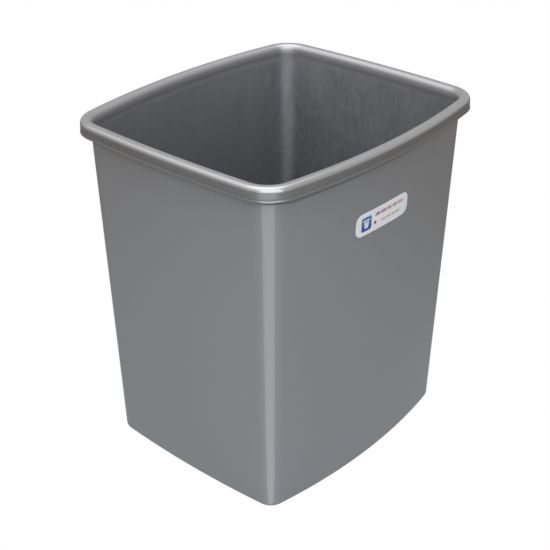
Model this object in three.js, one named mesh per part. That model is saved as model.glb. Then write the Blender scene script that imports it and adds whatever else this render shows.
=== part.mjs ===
// Rectangular office wastebasket: one thin-walled injection moulding, with four bowed,
// tapered sides, rounded corners and a turned-over rim that is open underneath, and an
// adhesive label on one of the two long sides.
//
// Millimetres, +Z up. The origin is on the floor, in the middle of the base.
// The long sides face -Y and +Y, the short sides face -X and +X, and the label is on -Y.
import * as THREE from "three";

// ---- overall ----
const HEIGHT = 300; // floor to the top of the rim

// ---- wall: half widths at the middle of each side, bow of each side, corner radius ----
const TOP = { halfX: 127.25, halfY: 110.42, bowX: 3.53, bowY: 12.77, corner: 20.49 }; // z = HEIGHT
const BASE = { halfX: 117.26, halfY: 101.79, bowX: 4.15, bowY: 12.14, corner: 13.88 }; // z = 0
const WALL_BASE = 2.25; // wall thickness at the base
const WALL_TOP = 2.75; // wall thickness at the rim

// ---- base ----
const FOOT_FILLET = 4.5; // outside round between the wall and the foot
const FOOT_WIDTH = 5.5; // flat ring that the bin stands on
const RECESS = 2.4; // how far the base panel sits above the floor
const RECESS_DRAFT = 0.7; // how far the side of the recess leans inwards
const BASE_THICK = 2.6; // base panel
const INNER_FILLET = 6; // inside round between the wall and the base

// ---- rim ----
const OVERHANG = 7.88; // how far the rim stands out from the wall at its top
const FLARE = 0.45; // how much further the skirt's lower edge stands out
const SKIRT = 11.65; // height of the rim's outside face, shoulder included
const SHOULDER = 3.7; // round between the rim's top and its outside face, across
const SHOULDER_DOWN = 4.6; // the same round, downwards
const INNER_ROUND = 5; // round between the rim's top and the inside of the wall, across
const INNER_ROUND_DOWN = 8.5; // the same round, downwards
const RIM_THICK = 2.1; // thickness of the rim's top and skirt
const CHANNEL_FILLET = 1.6; // rounds in the open channel under the rim
const LIP = 0.9; // round on each side of the skirt's lower edge

// ---- label: centre x and z, size, and its clearance from the wall ----
const LABEL = { x: -1.5, z: 236.6, width: 66.3, height: 19.5, corner: 6.95, thick: 0.22, gap: 0.16 };

// ---- facets ----
const SIDE_STEPS = 10; // along each bowed side
const CORNER_STEPS = 8; // around each corner
const ROUND_STEPS = 4; // across the larger rounds
const INNER_ROUND_STEPS = 5; // across the round from the rim into the bin
const SMALL_ROUND_STEPS = 2; // across the channel and lip rounds
const WALL_RINGS = [0.25, 0.5, 0.75].map((part) => part * HEIGHT); // between base and rim
const SKIRT_RINGS = [0.25, 0.55]; // parts of the way up the skirt, from lip to shoulder
const LABEL_CORNER_STEPS = 6;
const LABEL_STRAIGHT_STEPS = 10; // across the label, between its corners
const LABEL_ROWS = 4;

// Radius of the arc that rises by `bow` over a chord of twice `halfChord`.
const bowRadius = (halfChord, bow) => (halfChord ** 2 + bow ** 2) / (2 * bow);

// The wall's outside section at height z: every size changes evenly from the base to the top.
function sectionAt(z) {
  const mix = (key) => BASE[key] + ((TOP[key] - BASE[key]) * z) / HEIGHT;
  const [halfX, halfY, bowX, bowY] = ["halfX", "halfY", "bowX", "bowY"].map(mix);
  const corner = mix("corner");
  const radiusX = bowRadius(halfY - bowY, bowX);
  const radiusY = bowRadius(halfX - bowX, bowY);
  const centreX = halfX - radiusX; // centre of the +X side's arc, on the X axis
  const centreY = halfY - radiusY; // centre of the +Y side's arc, on the Y axis

  // The corner's centre lies the corner radius inside both arcs, so it is where two smaller
  // circles about the arcs' centres cross: `along` the line between them, then `across` it.
  const reachX = radiusX - corner;
  const reachY = radiusY - corner;
  const distance = Math.hypot(centreX, centreY);
  const along = (reachX ** 2 - reachY ** 2 + distance ** 2) / (2 * distance);
  const across = Math.sqrt(reachX ** 2 - along ** 2);
  const lineX = -centreX / distance;
  const lineY = centreY / distance;
  const pivotX = centreX + along * lineX - across * lineY;
  const pivotY = along * lineY + across * lineX;

  return {
    corner, radiusX, radiusY, centreX, centreY, pivotX, pivotY,
    angleX: Math.atan2(pivotY, pivotX - centreX), // where the +X side ends
    angleY: Math.atan2(pivotY - centreY, pivotX), // where the +Y side begins
  };
}

// The section at height z, grown outwards by `grow`, as points in counter-clockwise order.
function ringPoints(z, grow) {
  const section = sectionAt(z);
  const { corner, radiusX, radiusY, centreX, centreY, pivotX, pivotY, angleX, angleY } = section;
  const half = Math.PI;
  const full = 2 * Math.PI;
  // centre x, centre y, radius, start angle, end angle, steps
  const arcs = [
    [centreX, 0, radiusX, -angleX, angleX, SIDE_STEPS],
    [pivotX, pivotY, corner, angleX, angleY, CORNER_STEPS],
    [0, centreY, radiusY, angleY, half - angleY, SIDE_STEPS],
    [-pivotX, pivotY, corner, half - angleY, half - angleX, CORNER_STEPS],
    [-centreX, 0, radiusX, half - angleX, half + angleX, SIDE_STEPS],
    [-pivotX, -pivotY, corner, half + angleX, half + angleY, CORNER_STEPS],
    [0, -centreY, radiusY, half + angleY, full - angleY, SIDE_STEPS],
    [pivotX, -pivotY, corner, full - angleY, full - angleX, CORNER_STEPS],
  ];
  // each arc's last point is the next arc's first
  return arcs.flatMap(([x, y, radius, from, to, steps]) =>
    new THREE.ArcCurve(x, y, radius + grow, from, to, false).getPoints(steps).slice(0, -1),
  );
}

// A round as [z, grow] pairs about a centre, from one angle to another (degrees).
// It is elliptical when `down` differs from `radius`, its reach across.
function round({ z, grow, radius, down = radius, from, to, steps = ROUND_STEPS }) {
  return Array.from({ length: steps + 1 }, (_, i) => {
    const angle = THREE.MathUtils.degToRad(from + ((to - from) * i) / steps);
    return [z + down * Math.sin(angle), grow + radius * Math.cos(angle)];
  });
}

function meshGeometry(positions, index) {
  const geometry = new THREE.BufferGeometry();
  geometry.setAttribute("position", new THREE.Float32BufferAttribute(positions, 3));
  geometry.setIndex(index);
  geometry.computeVertexNormals();
  return geometry;
}

// A closed skin over a list of rings, each [height, grow, height of the section it grows from].
// The first and the last ring are flat, and are closed by a fan about their middle.
function skin(stations) {
  const rings = stations.map(([z, grow, sectionZ = z]) =>
    ringPoints(sectionZ, grow).map(({ x, y }) => [x, y, z]),
  );
  const count = rings[0].length;
  const last = (rings.length - 1) * count; // first point of the last ring
  const firstMiddle = rings.length * count;
  const lastMiddle = firstMiddle + 1;
  const positions = [...rings.flat(2), 0, 0, stations[0][0], 0, 0, stations.at(-1)[0]];
  const index = [];
  for (let start = 0; start < last; start += count) {
    for (let i = 0; i < count; i++) {
      const a = start + i;
      const b = start + ((i + 1) % count);
      index.push(a, b, b + count, a, b + count, a + count);
    }
  }
  for (let i = 0; i < count; i++) {
    const j = (i + 1) % count;
    index.push(firstMiddle, j, i);
    index.push(lastMiddle, last + i, last + j);
  }
  return meshGeometry(positions, index);
}

// The outer part of the rim, from inside the channel, round the skirt, to the top.
// All of it grows from the section at the top of the wall.
function rimStations(channelZ) {
  const lipZ = HEIGHT - SKIRT + LIP; // centre of the lip's rounds
  const shoulderZ = HEIGHT - SHOULDER_DOWN;
  const edge = OVERHANG + FLARE; // outside of the skirt at its lower edge
  const lip = { z: lipZ, radius: LIP, steps: SMALL_ROUND_STEPS };
  return [
    ...round({
      z: channelZ, grow: OVERHANG - RIM_THICK - CHANNEL_FILLET, radius: CHANNEL_FILLET,
      from: 90, to: 0, steps: SMALL_ROUND_STEPS,
    }),
    ...round({ ...lip, grow: edge - RIM_THICK + LIP, from: 180, to: 270 }),
    ...round({ ...lip, grow: edge - LIP, from: 270, to: 360 }),
    // the skirt flares out, more and more steeply towards its lower edge
    ...SKIRT_RINGS.map((t) => [lipZ + (shoulderZ - lipZ) * t, OVERHANG + FLARE * (1 - t) ** 3]),
    ...round({
      z: shoulderZ, grow: OVERHANG - SHOULDER, radius: SHOULDER, down: SHOULDER_DOWN,
      from: 0, to: 90,
    }),
  ].map(([z, grow]) => [z, grow, HEIGHT]);
}

// The moulding, followed from the middle of the underside, over the rim, to the inside floor.
function bodyGeometry() {
  const channelZ = HEIGHT - RIM_THICK - CHANNEL_FILLET; // centre of the channel's rounds
  const innerWall = (z) => [z, -(WALL_BASE + ((WALL_TOP - WALL_BASE) * z) / HEIGHT)];
  return skin([
    // underside: base panel, recess, foot
    [RECESS, -(FOOT_FILLET + FOOT_WIDTH + RECESS_DRAFT), 0],
    [0, -(FOOT_FILLET + FOOT_WIDTH)],
    ...round({ z: FOOT_FILLET, grow: -FOOT_FILLET, radius: FOOT_FILLET, from: -90, to: 0 }),
    // outside of the wall
    ...WALL_RINGS.map((z) => [z, 0]),
    // from the wall into the channel under the rim
    ...round({
      z: channelZ, grow: CHANNEL_FILLET, radius: CHANNEL_FILLET,
      from: 180, to: 90, steps: SMALL_ROUND_STEPS,
    }),
    ...rimStations(channelZ),
    // from the top of the rim into the bin
    ...round({
      z: HEIGHT - INNER_ROUND_DOWN, grow: INNER_ROUND - WALL_TOP,
      radius: INNER_ROUND, down: INNER_ROUND_DOWN,
      from: 90, to: 180, steps: INNER_ROUND_STEPS,
    }),
    // inside of the wall, and the round into the floor
    ...WALL_RINGS.toReversed().map(innerWall),
    ...round({
      z: RECESS + BASE_THICK + INNER_FILLET, grow: -WALL_BASE - INNER_FILLET,
      radius: INNER_FILLET, from: 0, to: -90,
    }),
  ]);
}

// Columns across the label, each [x, half height]; they bunch up in the rounded corners.
function labelColumns() {
  const { width, height, corner } = LABEL;
  const straightHalf = width / 2 - corner;
  const right = Array.from({ length: LABEL_CORNER_STEPS + 1 }, (_, i) => {
    const angle = ((i / LABEL_CORNER_STEPS) * Math.PI) / 2;
    return [straightHalf + corner * Math.sin(angle), height / 2 - corner + corner * Math.cos(angle)];
  });
  const left = right.toReversed().map(([x, half]) => [-x, half]);
  const straight = Array.from({ length: LABEL_STRAIGHT_STEPS - 1 }, (_, i) => [
    straightHalf * ((2 * (i + 1)) / LABEL_STRAIGHT_STEPS - 1),
    height / 2,
  ]);
  return [...left, ...straight, ...right];
}

// The label: a thin rounded rectangle that follows the bowed, sloping -Y side.
function labelGeometry() {
  const columns = labelColumns();
  const rows = LABEL_ROWS;
  const positions = [];
  for (const grow of [LABEL.gap, LABEL.gap + LABEL.thick]) {
    for (const [columnX, half] of columns) {
      for (let k = 0; k <= rows; k++) {
        const x = LABEL.x + columnX;
        const z = LABEL.z + half * ((2 * k) / rows - 1);
        const { radiusY, centreY } = sectionAt(z);
        positions.push(x, -(centreY + Math.sqrt((radiusY + grow) ** 2 - x * x)), z);
      }
    }
  }

  // point k of column i, on the back or the front face
  const pointsPerFace = columns.length * (rows + 1);
  const back = (i, k) => i * (rows + 1) + k;
  const front = (i, k) => pointsPerFace + back(i, k);
  const index = [];
  const quad = (a, b, c, d) => index.push(a, b, c, a, c, d);
  const end = columns.length - 1;
  for (let i = 0; i < end; i++) {
    for (let k = 0; k < rows; k++) {
      quad(front(i, k), front(i + 1, k), front(i + 1, k + 1), front(i, k + 1));
      quad(back(i, k), back(i, k + 1), back(i + 1, k + 1), back(i + 1, k));
    }
    quad(back(i, 0), back(i + 1, 0), front(i + 1, 0), front(i, 0)); // lower edge
    quad(front(i, rows), front(i + 1, rows), back(i + 1, rows), back(i, rows)); // upper edge
  }
  for (let k = 0; k < rows; k++) {
    quad(back(0, k), front(0, k), front(0, k + 1), back(0, k + 1)); // -X edge
    quad(front(end, k), back(end, k), back(end, k + 1), front(end, k + 1)); // +X edge
  }
  return meshGeometry(positions, index);
}

const greyPlastic = new THREE.MeshStandardMaterial({ color: 0x7c7d7f, roughness: 0.42, metalness: 0 });
const whiteFilm = new THREE.MeshStandardMaterial({ color: 0xe9e9ea, roughness: 0.35, metalness: 0 });

const wastebasket = new THREE.Group();

function addPiece(name, geometry, material) {
  const mesh = new THREE.Mesh(geometry, material);
  mesh.name = name;
  wastebasket.add(mesh);
}

addPiece("bin_body", bodyGeometry(), greyPlastic);
addPiece("label", labelGeometry(), whiteFilm);

export default wastebasket;
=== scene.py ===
"""Office wastebasket: one grey moulding (walls, base, foot, turned-over rim) and one adhesive label.

The frame is in metres, +Z up, with the base near z = 0 and the label on the -Y side.
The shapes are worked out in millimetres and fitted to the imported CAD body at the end.
"""
import math
from types import SimpleNamespace

import bpy
import numpy as np
from mathutils import Matrix, Vector


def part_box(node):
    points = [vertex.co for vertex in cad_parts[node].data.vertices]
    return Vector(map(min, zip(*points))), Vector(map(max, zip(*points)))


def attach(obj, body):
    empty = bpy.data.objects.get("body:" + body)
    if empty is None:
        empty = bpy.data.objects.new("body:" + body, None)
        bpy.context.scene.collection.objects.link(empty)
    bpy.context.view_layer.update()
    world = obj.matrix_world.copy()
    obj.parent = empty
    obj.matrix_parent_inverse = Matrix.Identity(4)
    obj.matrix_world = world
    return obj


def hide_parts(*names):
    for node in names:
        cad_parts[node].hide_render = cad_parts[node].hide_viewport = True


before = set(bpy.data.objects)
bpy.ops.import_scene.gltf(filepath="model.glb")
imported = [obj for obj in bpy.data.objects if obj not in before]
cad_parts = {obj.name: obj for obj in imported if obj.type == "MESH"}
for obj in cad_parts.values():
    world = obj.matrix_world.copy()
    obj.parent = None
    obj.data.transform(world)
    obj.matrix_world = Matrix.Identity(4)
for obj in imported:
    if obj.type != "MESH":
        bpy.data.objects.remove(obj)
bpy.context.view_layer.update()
MM = 0.001

# ------------------------------------------------------------------ sizes, mm
HEIGHT = 300.0
# outline at the top and at the base: half sizes, how far the X and Y sides bow out, corner radius
TOP = dict(half_x=127.25, half_y=110.42, bow_x=3.53, bow_y=12.77, corner=20.49)
BASE = dict(half_x=117.26, half_y=101.79, bow_x=4.15, bow_y=12.14, corner=13.88)
SIDE_POINTS, CORNER_POINTS = 44, 22  # on each side and on each corner

WALL, WALL_TOP = 2.25, 2.75
FOOT_FILLET, FOOT_WIDTH = 4.5, 5.5
RECESS, RECESS_DRAFT = 2.4, 0.7  # panel under the base, raised inside the foot
EDGE_ROUND = 0.45  # on the foot's and the recess's edges
BASE_THICK, INNER_FILLET = 2.6, 6.0
OVERHANG, FLARE, SKIRT = 7.88, 0.45, 11.65  # rim: reach past the wall, extra at the lip, drop
SHOULDER, SHOULDER_DOWN = 3.7, 4.6  # elliptical rounds of the rim: across and down
INNER_ROUND, INNER_ROUND_DOWN = 5.0, 8.5
RIM_THICK, CHANNEL_FILLET, LIP = 2.1, 1.6, 0.9
SKIRT_LEAN = 24.0  # degrees the skirt leans back where it meets the lip's bead
FLOOR_Z = RECESS + BASE_THICK

GATE_RADIUS, GATE_HEIGHT = 3.4, 0.55  # mark at the middle of the base
GATE_INSIDE = 0.25  # share of the mark that shows as a dip in the inside floor
CLOSING_SCALES = (0.9, 0.75, 0.6, 0.45, 0.3, 0.18, 0.09, 0.045, 0.034, 0.026, 0.018, 0.009)
CIRCLE_FROM, CIRCLE_BLEND = 30, 20  # closing rings turn into circles inside this radius

LABEL = dict(x=-1.5, z=236.6, width=66.3, height=19.5, corner=6.95, thick=0.16, gap=0.03)
PRINT_SPAN = 80.0  # width and height covered by the label's UV square

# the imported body's box sets the final scale, so that the surface fills the CAD solid
box_low, box_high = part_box("bin_body")
FIT = Vector(
    (
        (box_high.x - box_low.x) / (2 * (TOP["half_x"] + OVERHANG + FLARE) * MM),
        (box_high.y - box_low.y) / (2 * (TOP["half_y"] + OVERHANG + FLARE) * MM),
        (box_high.z - box_low.z) / (HEIGHT * MM),
    )
)
CENTRE = Vector(((box_high.x + box_low.x) / 2, (box_high.y + box_low.y) / 2, box_low.z))


# ------------------------------------------------------------------ outline
def section(z):
    """The outline at height z: four shallow side arcs joined by tangent corner arcs.

    Gives each arc's centre and radius, and the angles at which a corner meets its two sides.
    """
    share = min(max(z / HEIGHT, 0.0), 1.0)
    size = SimpleNamespace(**{k: BASE[k] + (TOP[k] - BASE[k]) * share for k in TOP})
    chord_x, chord_y = size.half_y - size.bow_x * 0 - size.bow_y, size.half_x - size.bow_x
    radius_x = (chord_x**2 + size.bow_x**2) / (2 * size.bow_x)
    radius_y = (chord_y**2 + size.bow_y**2) / (2 * size.bow_y)
    centre_x, centre_y = size.half_x - radius_x, size.half_y - radius_y
    # the corner's centre is where the two side circles, shrunk by its radius, cross
    reach_x, reach_y = radius_x - size.corner, radius_y - size.corner
    apart = math.hypot(centre_x, centre_y)
    along = (reach_x**2 - reach_y**2 + apart**2) / (2 * apart)
    across = math.sqrt(max(reach_x**2 - along**2, 0.0))
    unit_x, unit_y = -centre_x / apart, centre_y / apart
    foot_x, foot_y = centre_x + along * unit_x, along * unit_y
    corner_x, corner_y = foot_x - across * unit_y, foot_y + across * unit_x
    if corner_x <= 0 or corner_y <= 0:
        corner_x, corner_y = foot_x + across * unit_y, foot_y - across * unit_x
    return SimpleNamespace(
        radius_x=radius_x,
        radius_y=radius_y,
        centre_x=centre_x,
        centre_y=centre_y,
        corner=size.corner,
        corner_x=corner_x,
        corner_y=corner_y,
        angle_x=math.atan2(corner_y, corner_x - centre_x),
        angle_y=math.atan2(corner_y - centre_y, corner_x),
    )


def ring(z, grow, section_z):
    """Points at height z, counter-clockwise: the outline of section_z moved out by grow."""
    s = section(section_z)
    half, turn = math.pi, 2 * math.pi
    corner_x, corner_y, a, b = s.corner_x, s.corner_y, s.angle_x, s.angle_y
    # centre x, centre y, radius, start angle, end angle, points
    arcs = [
        (s.centre_x, 0, s.radius_x, -a, a, SIDE_POINTS),
        (corner_x, corner_y, s.corner, a, b, CORNER_POINTS),
        (0, s.centre_y, s.radius_y, b, half - b, SIDE_POINTS),
        (-corner_x, corner_y, s.corner, half - b, half - a, CORNER_POINTS),
        (-s.centre_x, 0, s.radius_x, half - a, half + a, SIDE_POINTS),
        (-corner_x, -corner_y, s.corner, half + a, half + b, CORNER_POINTS),
        (0, -s.centre_y, s.radius_y, half + b, turn - b, SIDE_POINTS),
        (corner_x, -corner_y, s.corner, turn - b, turn - a, CORNER_POINTS),
    ]
    points = []
    for x, y, radius, start, end, count in arcs:
        angle = np.linspace(start, end, count, endpoint=False)
        out = radius + grow
        columns = [x + out * np.cos(angle), y + out * np.sin(angle), np.full(count, z)]
        points.append(np.column_stack(columns))
    return np.concatenate(points)


# ------------------------------------------------------------------ the moulding
def arc(z, grow, radius, start, end, steps, down=None):
    """Points on a round in the (z, grow) plane, in degrees; `down` is its radius along z."""
    angles = np.radians(np.linspace(start, end, steps + 1))
    return [(z + (down or radius) * math.sin(a), grow + radius * math.cos(a)) for a in angles]


def skirt_out(t):
    """The skirt's outside, t from 0 at the lip to 1 at the shoulder: a flare, quicker at the lip."""
    flare = FLARE - LIP * (1 - math.cos(math.radians(SKIRT_LEAN)))
    return OVERHANG + flare * (0.45 * (1 - t) ** 3 + 0.55 * (1 - t) ** 10)


def moulding_stations():
    """Profile from the underside, up the outside, over the rim and down the inside.

    Each station is (z, grow, height whose section is used, region).
    """
    stations = []

    def put(points, region, section_z=None):
        for z, grow in points:
            stations.append((z, grow, z if section_z is None else section_z, region))

    foot_in = -(FOOT_FILLET + FOOT_WIDTH)
    recess_in = foot_in - RECESS_DRAFT * 0.8 - EDGE_ROUND
    roof_z = HEIGHT - RIM_THICK
    fillet_z = roof_z - CHANNEL_FILLET
    lip_z = HEIGHT - SKIRT + LIP
    lip_out = OVERHANG + FLARE

    # recessed panel, its round, the recess wall, the foot
    put([(RECESS, foot_in - RECESS_DRAFT - 1.6)], "under", 0.0)
    put(arc(RECESS - EDGE_ROUND, recess_in, EDGE_ROUND, 90, 8, 5), "under", 0.0)
    put(arc(EDGE_ROUND, foot_in + EDGE_ROUND - 0.04, EDGE_ROUND, 172, 270, 6), "under", 0.0)
    put([(0.0, foot_in + 2.2), (0.0, -FOOT_FILLET - 1.0)], "under", 0.0)
    put(arc(FOOT_FILLET, -FOOT_FILLET, FOOT_FILLET, -90, 0, 14), "wall")
    put([(z, 0.0) for z in np.linspace(FOOT_FILLET, fillet_z, 48)[1:-1]], "wall")

    # the channel under the rim: wall fillet, roof, skirt fillet, inside of the skirt
    put(arc(fillet_z, CHANNEL_FILLET, CHANNEL_FILLET, 180, 90, 7), "channel")
    skirt_in = OVERHANG - RIM_THICK - CHANNEL_FILLET
    put(arc(fillet_z, skirt_in, CHANNEL_FILLET, 90, 0, 7), "channel", HEIGHT)
    skirt_low = lip_z + LIP * math.sin(math.radians(SKIRT_LEAN))
    skirt_high = HEIGHT - SHOULDER_DOWN
    drop = skirt_high - skirt_low
    inside = [(skirt_high - drop * k, skirt_out(1 - k) - RIM_THICK) for k in (0.3, 0.55, 0.75, 0.9)]
    put(inside, "channel", HEIGHT)

    # the lip's bead, the outside of the skirt, the shoulder, the crown, the round inside it
    put(arc(lip_z, lip_out - RIM_THICK + LIP, LIP, 180, 270, 7), "rim", HEIGHT)
    put(arc(lip_z, lip_out - LIP, LIP, 270, 360 + SKIRT_LEAN, 12), "rim", HEIGHT)
    outside = [(skirt_low + drop * t, skirt_out(t)) for t in np.linspace(0, 1, 16)[1:-1] ** 1.5]
    put(outside, "rim", HEIGHT)
    shoulder_in, round_out = OVERHANG - SHOULDER, INNER_ROUND - WALL_TOP
    put(arc(skirt_high, shoulder_in, SHOULDER, 0, 90, 14, SHOULDER_DOWN), "rim", HEIGHT)
    put([(HEIGHT, (shoulder_in + round_out) / 2)], "rim", HEIGHT)
    round_z = HEIGHT - INNER_ROUND_DOWN
    put(arc(round_z, round_out, INNER_ROUND, 90, 180, 18, INNER_ROUND_DOWN), "bead")

    # inside wall and the round into the floor
    fillet_z = FLOOR_Z + INNER_FILLET
    for z in np.linspace(round_z, fillet_z, 48)[1:-1]:
        put([(z, -(WALL + (WALL_TOP - WALL) * z / HEIGHT))], "inside")
    put(arc(fillet_z, -WALL - INNER_FILLET, INNER_FILLET, 0, -90, 12), "inside")
    return stations


def gate(distance):
    """Height of the gate mark at a distance from the middle."""
    return GATE_HEIGHT * np.maximum(0.0, 1 - (distance / GATE_RADIUS) ** 4)


def closing_rings(edge, z, gate_share):
    """Scaled rings from an edge towards the middle, rounded off to circles about the gate mark."""
    rings = []
    for scale in CLOSING_SCALES:
        points = edge * [scale, scale, 1]
        distance = np.hypot(points[:, 0], points[:, 1])
        mean = distance.mean()
        circle = min(max((CIRCLE_FROM - mean) / CIRCLE_BLEND, 0), 1)
        points[:, :2] *= ((1 - circle) + circle * mean / distance)[:, None]
        points[:, 2] = z - gate_share * gate(np.hypot(points[:, 0], points[:, 1]))
        rings.append(points)
    return rings


def build_body():
    """Vertices, faces and the region of each vertex."""
    stations = moulding_stations()
    rings = [ring(z, grow, section_z) for z, grow, section_z, _ in stations]
    under = closing_rings(rings[0], RECESS, 1)
    inside = closing_rings(rings[-1], FLOOR_Z, GATE_INSIDE)
    regions = ["under"] * len(under) + [s[-1] for s in stations] + ["floor"] * len(inside)
    rings = under[::-1] + rings + inside
    middles = [[[0, 0, RECESS - gate(0)]], [[0, 0, FLOOR_Z - GATE_INSIDE * gate(0)]]]
    count, last = len(rings[0]), (len(rings) - 1) * len(rings[0])
    faces = []
    for a in range(0, last, count):
        for i in range(count):
            j = (i + 1) % count
            faces.append((a + i, a + j, a + count + j, a + count + i))
    under_middle = last + count
    for i in range(count):
        j = (i + 1) % count
        faces.append((under_middle, j, i))
        faces.append((under_middle + 1, last + i, last + j))
    return np.concatenate(rings + middles), faces, list(np.repeat(regions, count)) + ["under", "floor"]


def add_object(name, mesh):
    thing = bpy.data.objects.new(name, mesh)
    bpy.context.scene.collection.objects.link(thing)
    return thing


def add_fitted(name, vertices, faces):
    """A smooth object from millimetre vertices, fitted to the CAD body's box."""
    fitted = vertices * MM * np.array(FIT) + np.array(CENTRE)
    mesh = bpy.data.meshes.new(name)
    mesh.from_pydata([tuple(v) for v in fitted], [], faces)
    mesh.validate()
    mesh.update()
    mesh.shade_smooth()
    return add_object(name, mesh)


vertices, faces, vertex_regions = build_body()
body = add_fitted("bin_shell", vertices, faces)
# masks for the material: attribute name and the regions it covers
MASKS = {
    "rim": ("rim", "channel", "bead"),
    "inner": ("inside", "floor"),
    "channel": ("wall", "channel"),
    "bead": ("bead",),
}
for name, members in MASKS.items():
    mask = np.isin(vertex_regions, members).astype(np.float32)
    body.data.attributes.new(name, "FLOAT", "POINT").data.foreach_set("value", mask)


# ------------------------------------------------------------------ the label
def on_wall(x, z, grow):
    """A point on the bowed -Y wall, moved out by grow."""
    s = section(z)
    radius = s.radius_y + grow
    return (x, -(s.centre_y + math.sqrt(radius * radius - x * x)), z)


def build_label():
    """Vertices, faces and flat (u, v) places in mm from the label's middle."""
    half_w, half_h, corner = LABEL["width"] / 2, LABEL["height"] / 2, LABEL["corner"]
    corner_steps, middle_steps, rows = 12, 24, 12
    # columns: place along the label, half height there
    right = []
    for k in range(corner_steps + 1):
        a = k / corner_steps * math.pi / 2
        right.append((half_w - corner + corner * math.sin(a), half_h - corner + corner * math.cos(a)))
    middle = [
        ((half_w - corner) * (2 * k / middle_steps - 1), half_h) for k in range(1, middle_steps)
    ]
    columns = [(-u, half) for u, half in right[::-1]] + middle + right

    # grids from the back to the front: distance off the wall, inset that rolls the edge over
    top = LABEL["gap"] + LABEL["thick"]
    levels = [(LABEL["gap"], 0.0), (top - 0.05, 0.0), (top - 0.015, 0.02), (top, 0.07)]
    points, flat, grids = [], [], []
    for grow, inset in levels:
        grid = []
        for along, half in columns:
            grid.append(list(range(len(points), len(points) + rows + 1)))
            for i in range(rows + 1):
                u = along * (1 - inset / half_w)
                v = half * (1 - inset / half_h) * (2 * i / rows - 1)
                points.append(on_wall(LABEL["x"] + u, LABEL["z"] + v, grow))
                flat.append((u, v))
        # one list of vertex numbers per column
            pass
        grids.append([list(range(s, s + rows + 1)) for s in range(grid[0][0], len(points), rows + 1)])

    faces = []
    back, front, last = grids[0], grids[-1], len(columns) - 1
    for i in range(last):
        for k in range(rows):
            faces.append((front[i][k], front[i + 1][k], front[i + 1][k + 1], front[i][k + 1]))
            faces.append((back[i][k], back[i][k + 1], back[i + 1][k + 1], back[i + 1][k]))
    edge = (
        [(i, 0) for i in range(last + 1)]
        + [(last, k) for k in range(1, rows + 1)]
        + [(i, rows) for i in range(last - 1, -1, -1)]
        + [(0, k) for k in range(rows - 1, 0, -1)]
    )
    for low, high in zip(grids, grids[1:]):
        for (i, k), (i2, k2) in zip(edge, edge[1:] + edge[:1]):
            faces.append((low[i][k], low[i2][k2], high[i2][k2], high[i][k]))
    return np.array(points), faces, flat


vertices, faces, flat = build_label()
label = add_fitted("label_film", vertices, faces)
layer = label.data.uv_layers.new(name="print")
for loop in label.data.loops:
    u, v = flat[loop.vertex_index]
    layer.data[loop.index].uv = (0.5 + u / PRINT_SPAN, 0.5 + v / PRINT_SPAN)


# ------------------------------------------------------------------ node helpers
class Nodes:
    """Short ways to add nodes to a tree; an input may be a value or another node's output."""

    def __init__(self, tree):
        self.tree = tree
        tree.nodes.clear()

    def add(self, kind, inputs=None, **props):
        node = self.tree.nodes.new(kind)
        for key, value in props.items():
            setattr(node, key, value)
        for key, value in (inputs or {}).items():
            if hasattr(value, "is_output"):
                self.tree.links.new(value, node.inputs[key])
            else:
                node.inputs[key].default_value = value
        return node

    def get(self, kind, inputs=None, out=0, **props):
        return self.add(kind, inputs, **props).outputs[out]

    def math(self, op, *values, clamp=False):
        return self.get("ShaderNodeMath", dict(enumerate(values)), operation=op, use_clamp=clamp)

    def plus(self, a, b):
        return self.math("ADD", a, b)

    def minus(self, a, b):
        return self.math("SUBTRACT", a, b)

    def times(self, a, b):
        return self.math("MULTIPLY", a, b)

    def size(self, a):
        return self.math("ABSOLUTE", a)

    def inverse(self, mask):
        return self.minus(1.0, mask)

    def signed(self, value, amount):
        """A 0 to 1 value centred on zero and scaled."""
        return self.times(self.minus(value, 0.5), amount)

    def length(self, a, b):
        return self.math("SQRT", self.plus(self.times(a, a), self.times(b, b)))

    def vector(self, op, *values):
        return self.get("ShaderNodeVectorMath", dict(enumerate(values)), operation=op)

    def scale(self, vector, factor):
        return self.get("ShaderNodeVectorMath", {0: vector, "Scale": factor}, operation="SCALE")

    def split(self, vector):
        return self.add("ShaderNodeSeparateXYZ", {"Vector": vector}).outputs

    def combine(self, x, y, z):
        return self.get("ShaderNodeCombineXYZ", {"X": x, "Y": y, "Z": z})

    def ramp(self, value, start, end, low=0.0, high=1.0, kind="SMOOTHSTEP"):
        names = ("Value", "From Min", "From Max", "To Min", "To Max")
        inputs = dict(zip(names, (value, start, end, low, high)))
        return self.get("ShaderNodeMapRange", inputs, interpolation_type=kind)

    def fall(self, value, start, end):
        """1 below start, easing to 0 at end."""
        return self.ramp(value, start, end, low=1.0, high=0.0)

    def mix(self, mask, off, on):
        """A colour: `off` where the mask is 0, `on` where it is 1."""
        return self.get("ShaderNodeMix", {0: mask, 6: off, 7: on}, out=2, data_type="RGBA")

    def blend(self, mask, off, on):
        """The same for a number."""
        return self.get("ShaderNodeMix", {0: mask, 2: off, 3: on}, data_type="FLOAT")

    def noise(self, place, scale, detail=2.0, rough=0.5, out=0):
        inputs = {"Vector": place, "Scale": scale, "Detail": detail, "Roughness": rough}
        return self.get("ShaderNodeTexNoise", inputs, out=out)

    def bump(self, **inputs):
        return self.get("ShaderNodeBump", {k.capitalize(): v for k, v in inputs.items()})

    def seen_apart(self, output, lit, seen):
        """Finish the tree: camera rays meet `seen`, every other ray meets `lit`."""
        ray = self.get("ShaderNodeLightPath", out="Is Camera Ray")
        self.add(output, {0: self.get("ShaderNodeMixShader", {0: ray, 1: lit, 2: seen})})


def new_material(name):
    material = bpy.data.materials.new(name)
    material.use_nodes = True
    return material, Nodes(material.node_tree)


def srgb(*levels):
    """sRGB levels, 0 to 255, to a linear colour."""
    parts = [level / 255 for level in levels]
    return (*(c / 12.92 if c <= 0.04045 else ((c + 0.055) / 1.055) ** 2.4 for c in parts), 1.0)


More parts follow.
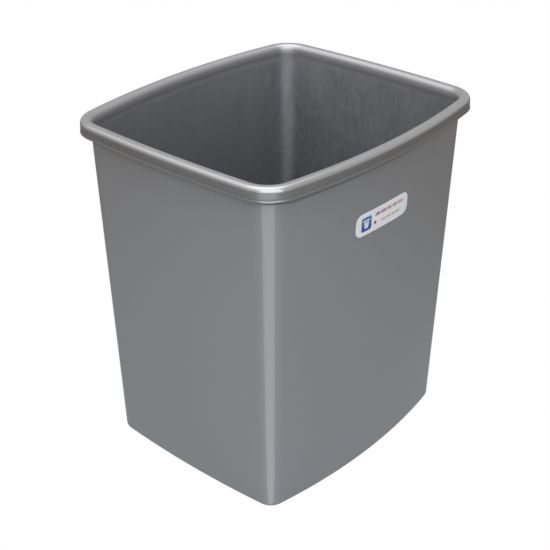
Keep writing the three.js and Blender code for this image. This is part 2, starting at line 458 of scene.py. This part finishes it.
# ------------------------------------------------------------------ grey plastic
# pigment colours, linear; the crown's is paler than the rim's, painted light on the top
OUTSIDE = (0.33, 0.33, 0.335, 1.0)
RIM = (0.39, 0.39, 0.39, 1.0)
# the crown, the rim's top, painted paler than the rest of the rim: painted light
CROWN_PAINTED_LIGHT = (0.63, 0.63, 0.63, 1.0)
INSIDE = (0.38, 0.385, 0.398, 1.0)
# the rim's colour turns into the crown's painted light over these heights
CROWN_BAND = dict(start=0.2945, end=0.2985)  # heights (m) over which the rim turns into its crown


def plastic():
    """Silver-grey moulding: flake pigment under a clear skin.

    The walls have a directional sheen; the rim is smoother and nearly the same in every direction.
    """
    material, n = new_material("grey_satin_polypropylene")
    place = n.get("ShaderNodeTexCoord", out="Object")
    x, y, z = n.split(place)

    def attribute(name):
        return n.get("ShaderNodeAttribute", out="Fac", attribute_name=name)

    # masks; the smooth rim fades into the inside wall below its inner round
    is_in = attribute("inner")
    is_rim = n.math("MAXIMUM", n.minus(attribute("rim"), is_in), 0.0)
    bead_fade = n.times(attribute("bead"), n.ramp(z, **CROWN_BAND, low=0.9, high=0.1))
    is_rim = n.times(is_rim, n.inverse(bead_fade))
    is_wall = n.inverse(n.math("MAXIMUM", is_in, attribute("rim")))

    # painted shade in the channel and on the wall just under the lip, where the lip's shadow falls;
    # the soft lower edge follows the lip round the corners
    corner = n.math(
        "MINIMUM",
        n.ramp(n.size(x), start=0.100, end=0.115),
        n.ramp(n.size(y), start=0.084, end=0.099),
    )
    corner_lift, deep_shade, edge_shade = 0.0022, 0.85, 0.35
    deep = n.times(n.ramp(z, start=0.2832, end=0.2840), deep_shade)
    edge_z = n.minus(z, n.times(corner, corner_lift))
    edge = n.times(n.ramp(edge_z, start=0.2802, end=0.2812), edge_shade)
    edge = n.times(edge, n.ramp(n.size(x), start=0.117, end=0.121, low=1.0, high=0.35))
    shade = n.times(n.math("MAXIMUM", deep, edge), attribute("channel"))

    # flow streaks that fan up from a point below the base, strongest on the +X wall
    fan_depth, fan_stretch, fan_bend = 0.03, 0.35, 0.10
    down = n.plus(z, fan_depth)
    fan = n.combine(n.math("DIVIDE", x, down), n.math("DIVIDE", y, down), n.times(z, fan_stretch))
    bend = n.noise(place, scale=5.0, detail=1.0, out=1)
    bent = n.vector("ADD", fan, n.scale(bend, fan_bend))
    flow = n.plus(
        n.signed(n.noise(bent, scale=54.0, rough=0.6), amount=0.8),
        n.signed(n.noise(fan, scale=18.0), amount=0.5),
    )
    flow = n.times(flow, n.ramp(x, start=0.07, end=0.11, low=0.35, high=1.0))

    # tone: fine speckle, slow cloudiness, streaks inside, painted shade in the channel
    speckle = n.noise(place, scale=2600.0, rough=0.6)
    cloud = n.noise(place, scale=14.0, detail=3.0, rough=0.55)
    flow_tone = 0.58
    tone = n.plus(1.0, n.signed(speckle, amount=n.blend(is_in, off=0.10, on=0.20)))
    tone = n.plus(tone, n.signed(cloud, amount=n.blend(is_in, off=0.04, on=0.12)))
    tone = n.plus(tone, n.times(n.times(flow, is_in), flow_tone))
    tone = n.times(tone, n.inverse(shade))
    # the rim's top is painted paler than its skirt: painted light on the crown
    base = n.mix(is_rim, off=OUTSIDE, on=n.mix(n.ramp(z, **CROWN_BAND), off=RIM, on=CROWN_PAINTED_LIGHT))
    base = n.mix(n.times(is_in, n.inverse(is_rim)), off=base, on=INSIDE)

    def by_region(inside, outside, rim):
        return n.blend(is_rim, off=n.blend(is_wall, off=inside, on=outside), on=rim)

    rough = by_region(inside=0.52, outside=0.60, rim=0.28)
    coat_rough = n.blend(is_wall, off=n.blend(is_rim, off=0.13, on=0.21), on=0.08)

    # bump: moulded micro texture, faintest on the smooth rim, and flow waves inside
    grain = n.noise(place, scale=1500.0, detail=3.0, rough=0.6)
    grain_strength, wave_strength = n.blend(is_rim, off=0.06, on=0.012), 0.15
    grain_bump = n.bump(strength=grain_strength, distance=0.00006, height=grain)
    normal = n.bump(
        strength=n.times(is_in, wave_strength), distance=0.0004, height=flow, normal=grain_bump
    )
    surface = {
        "Base Color": n.scale(base, tone),
        "Metallic": n.blend(is_wall, off=0.8, on=0.42),
        "Roughness": n.plus(rough, n.signed(cloud, amount=0.06)),
        "Anisotropic": by_region(inside=0.74, outside=0.35, rim=0.1),
        "Anisotropic Rotation": 0.25,
        "Tangent": n.get("ShaderNodeTangent", direction_type="RADIAL", axis="Z"),
        "IOR": 1.5,
        # the painted shade in the channel also takes away the coat's reflection there
        "Coat Weight": n.times(n.blend(is_wall, off=0.65, on=1.0), n.inverse(shade)),
        "Coat Roughness": coat_rough,
        "Coat IOR": n.blend(is_wall, off=1.5, on=2.0),
        "Normal": normal,
    }
    n.add("ShaderNodeOutputMaterial", {0: n.get("ShaderNodeBsdfPrincipled", surface)})
    return material


# ------------------------------------------------------------------ the label's film and print
# print, in mm from the label's middle
ICON_X = -20.6
TUB = dict(drop=1.2, half_width=2.5, taper=0.16)
# ticks grouped like words: (centre, width)
UPPER_WORDS = [(-6.9, 5.8), (0.6, 7.0), (8.0, 5.4), (14.9, 6.0), (22.7, 7.4)]
LOWER_WORDS = [(0.4, 5.2), (7.2, 6.2), (13.8, 4.6), (19.6, 5.2)]


def film():
    """White film with a pictogram of a bin, a red dot and two rows of ticks in place of words."""
    material, n = new_material("white_label_film")
    uv = n.get("ShaderNodeUVMap", uv_map="print")
    place = n.scale(n.vector("SUBTRACT", uv, (0.5, 0.5, 0.0)), PRINT_SPAN)
    u, v, _ = n.split(place)

    def bar(at, size, corner=0.25, soft=0.12):
        """A rounded bar: 1 inside, 0 outside."""
        past = []
        for value, middle, span in zip((u, v), at, size):
            off = n.size(n.minus(value, middle))
            past.append(n.math("MAXIMUM", n.minus(off, span / 2 - corner), 0.0))
        return n.fall(n.length(*past), corner - soft / 2, corner + soft / 2)

    def ticks(colour, words, y, height, pitch, ink):
        cycle = n.math("FRACT", n.math("DIVIDE", u, pitch))
        tick = n.fall(n.size(n.minus(cycle, 0.5)), start=0.36, end=0.42)
        row, *others = [bar(at=(x, y), size=(width, height)) for x, width in words]
        for word in others:
            row = n.math("MAXIMUM", row, word)
        return n.mix(n.times(row, tick), off=colour, on=ink)

    fibre = n.noise(place, scale=6.0, detail=3.0, rough=0.6)
    fibre_level, fibre_amount = 0.35, 0.10
    fibres = n.math("MULTIPLY", n.minus(fibre, fibre_level), fibre_amount, clamp=True)
    colour = n.mix(fibres, off=srgb(253, 253, 254), on=srgb(234, 235, 239))

    # pictogram: a blue rounded tile with a white tapered tub and its rim
    tile = bar(at=(ICON_X, -0.2), size=(12.0, 12.0), corner=1.8)
    blue = n.mix(n.ramp(v, start=-6.0, end=6.0), off=srgb(34, 84, 158), on=srgb(74, 128, 190))
    colour = n.mix(tile, off=colour, on=blue)
    tub_v = n.plus(v, TUB["drop"])
    tub_half = n.plus(TUB["half_width"], n.times(tub_v, TUB["taper"]))
    tub = n.times(
        n.fall(n.minus(n.size(n.plus(u, -ICON_X)), tub_half), start=-0.06, end=0.06),
        n.fall(n.size(tub_v), start=2.64, end=2.76),
    )
    tub_rim = bar(at=(ICON_X, 2.75), size=(8.0, 1.3), corner=0.45)
    colour = n.mix(n.math("MAXIMUM", tub, tub_rim), off=colour, on=srgb(238, 240, 244))

    dot = bar(at=(-9.7, -2.7), size=(3.0, 3.0), corner=1.5)
    colour = n.mix(dot, off=colour, on=srgb(186, 38, 34))
    fade = n.ramp(u, start=-8.0, end=27.0, kind="LINEAR")
    ink = n.mix(fade, off=srgb(150, 40, 52), on=srgb(206, 162, 124))
    colour = ticks(colour, UPPER_WORDS, y=4.0, height=2.7, pitch=1.5, ink=ink)
    ink = n.mix(fade, off=srgb(226, 160, 84), on=srgb(206, 168, 150))
    colour = ticks(colour, LOWER_WORDS, y=-3.4, height=1.9, pitch=1.1, ink=ink)

    surface = {
        "Base Color": colour,
        "Roughness": n.ramp(fibre, start=0.3, end=0.7, low=0.34, high=0.44),
        "IOR": 1.48,
        "Coat Weight": 0.25,
        "Coat Roughness": 0.2,
        "Normal": n.bump(strength=0.10, distance=0.00003, height=n.noise(place, scale=9.0)),
    }
    n.add("ShaderNodeOutputMaterial", {0: n.get("ShaderNodeBsdfPrincipled", surface)})
    return material


body.data.materials.append(plastic())
label.data.materials.append(film())

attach(body, "root")
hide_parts("bin_body")
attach(label, "root")
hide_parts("label")

# ------------------------------------------------------------------ camera
# angles in degrees; azimuth is counter-clockwise from -Y seen from above
AZIMUTH, ELEVATION, ROLL = (math.radians(a) for a in (-48.586, 29.272, -0.102))
# mm from the bin's mid-height, along the view and across it
DISTANCE, SHIFT_RIGHT, SHIFT_UP = 1033.285, -3.863, -6.908


def add_camera():
    back = Vector(
        (
            math.sin(AZIMUTH) * math.cos(ELEVATION),
            -math.cos(AZIMUTH) * math.cos(ELEVATION),
            math.sin(ELEVATION),
        )
    )
    level = (-back).cross(Vector((0, 0, 1))).normalized()
    upright = level.cross(-back)
    right = level * math.cos(ROLL) + upright * math.sin(ROLL)
    up = -level * math.sin(ROLL) + upright * math.cos(ROLL)
    target = Vector((0, 0, HEIGHT / 2))
    eye = (target + right * SHIFT_RIGHT + up * SHIFT_UP + back * DISTANCE) * MM
    data = bpy.data.cameras.new("camera")
    data.sensor_fit = "HORIZONTAL"
    data.sensor_width = 36.0
    data.lens = 77.768771
    data.clip_start, data.clip_end = 0.02, 60.0
    camera = add_object("camera", data)
    rotation = Matrix((right, up, back)).transposed().to_4x4()
    camera.matrix_world = Matrix.Translation(eye) @ rotation
    bpy.context.scene.camera = camera


add_camera()

# ------------------------------------------------------------------ studio
# An even fill, a soft top light, a large soft box behind the camera and a smaller one to its left,
# over a pale table that glows to every ray but the camera's, with painted light: brighter in a pool in
# front of the bin, and a glowing card before the nearest corner.
# Azimuths (az) and half widths are in degrees, az from the camera's, counter-clockwise from above.
CAMERA_AZ = 221.4  # from +X
FILL = (0.42, 0.42, 0.42)
TOP_LIGHT = dict(start=40, full=80, color=(1.24, 1.26, 1.34))  # elevations
KEY_BOX = dict(az=8, half=29, soft=8, top=42, fade=24, color=(1.14, 1.14, 1.24))
SIDE_BOX = dict(az=290, half=30, soft=30, el=48, tall=12, fade=20, color=(0.54, 0.53, 0.55))
# glow of the table, with its painted pool of light and card, in metres
TABLE = (0.19, 0.172, 0.155)
LIGHT_POOL = dict(ahead=0.40, radius=0.40, soft=0.53, color=(0.13, 0.18, 0.215))
CARD_GLOW = dict(
    at=(-0.11059, -0.08733), az=-1, half=24, soft=7, reach=0.60, fade=0.35, color=(0.60, 0.60, 0.63)
)
FLOOR_HALF, FLOOR_DROP = 6.0, -0.0003  # a hair below the foot, so that the faces don't fight


def wedge(n, x, y, source):
    """1 within a source's half width of its azimuth, 0 past its soft edge."""
    angle = n.math("DIVIDE", n.math("ARCTAN2", y, x), 2 * math.pi)
    turn = n.math("FRACT", n.plus(angle, 2.5 - (CAMERA_AZ + source["az"]) / 360.0))
    away = n.times(n.size(n.minus(turn, 0.5)), 360.0)
    return n.fall(away, source["half"], source["half"] + source["soft"])


def lamp(n, glow, amount, color):
    """Add a soft source to the glow so far."""
    return n.vector("ADD", glow, n.scale(n.combine(*color), amount))


def floor_material():
    """White to the camera; to every other ray it glows: the even table, a painted pool of light in
    front of the bin and the card.
    """
    material, n = new_material("pale_floor")
    place = n.get("ShaderNodeNewGeometry", out="Position")
    x, y, _ = n.split(place)

    def offset(from_x, from_y):
        return n.minus(x, from_x), n.minus(y, from_y)

    az = math.radians(CAMERA_AZ)
    # painted pool of light glowing from the table in front of the bin
    away = n.length(*offset(LIGHT_POOL["ahead"] * math.cos(az), LIGHT_POOL["ahead"] * math.sin(az)))
    light_pool = n.fall(away, LIGHT_POOL["radius"], LIGHT_POOL["radius"] + LIGHT_POOL["soft"])
    glow = lamp(n, TABLE, light_pool, LIGHT_POOL["color"])
    # the card: a glowing wedge of painted light on the floor before the nearest corner
    card_x, card_y = offset(*CARD_GLOW["at"])
    near = n.fall(n.length(card_x, card_y), CARD_GLOW["reach"], CARD_GLOW["reach"] + CARD_GLOW["fade"])
    glow = lamp(n, glow, n.times(wedge(n, card_x, card_y, CARD_GLOW), near), CARD_GLOW["color"])
    grain = n.noise(place, scale=30.0, detail=3.0)
    paper = n.mix(grain, off=(0.995, 0.995, 0.995, 1), on=(1, 1, 1, 1))
    lit, seen = (
        n.get("ShaderNodeEmission", {"Color": color, "Strength": 1.0}) for color in (glow, paper)
    )
    n.seen_apart("ShaderNodeOutputMaterial", lit, seen)
    return material


def room():
    """The world: white to the camera, the lights to every other ray."""
    world = bpy.data.worlds.new("studio")
    bpy.context.scene.world = world
    world.use_nodes = True
    n = Nodes(world.node_tree)
    x, y, z = n.split(n.vector("NORMALIZE", n.get("ShaderNodeTexCoord", out="Generated")))
    elevation = n.times(n.math("ARCSINE", z), 180 / math.pi)
    overhead = n.ramp(elevation, TOP_LIGHT["start"], TOP_LIGHT["full"])
    glow = lamp(n, FILL, overhead, TOP_LIGHT["color"])
    below = n.fall(elevation, KEY_BOX["top"], KEY_BOX["top"] + KEY_BOX["fade"])
    glow = lamp(n, glow, n.times(wedge(n, x, y, KEY_BOX), below), KEY_BOX["color"])
    off = n.size(n.minus(elevation, SIDE_BOX["el"]))
    band = n.fall(off, SIDE_BOX["tall"], SIDE_BOX["tall"] + SIDE_BOX["fade"])
    glow = lamp(n, glow, n.times(wedge(n, x, y, SIDE_BOX), band), SIDE_BOX["color"])
    lit, seen = (
        n.get("ShaderNodeBackground", {"Color": color, "Strength": 1.0})
        for color in (glow, (1, 1, 1, 1))
    )
    n.seen_apart("ShaderNodeOutputWorld", lit, seen)


mesh = bpy.data.meshes.new("floor")
signs = ((-1, -1), (1, -1), (1, 1), (-1, 1))
corners = [(x * FLOOR_HALF, y * FLOOR_HALF, FLOOR_DROP) for x, y in signs]
mesh.from_pydata(corners, [], [(0, 1, 2, 3)])
floor = add_object("floor", mesh)
mesh.materials.append(floor_material())
room()

view = bpy.context.scene.view_settings
view.view_transform = "Standard"
view.look = "None"
view.exposure = 0.0
view.gamma = 1.0
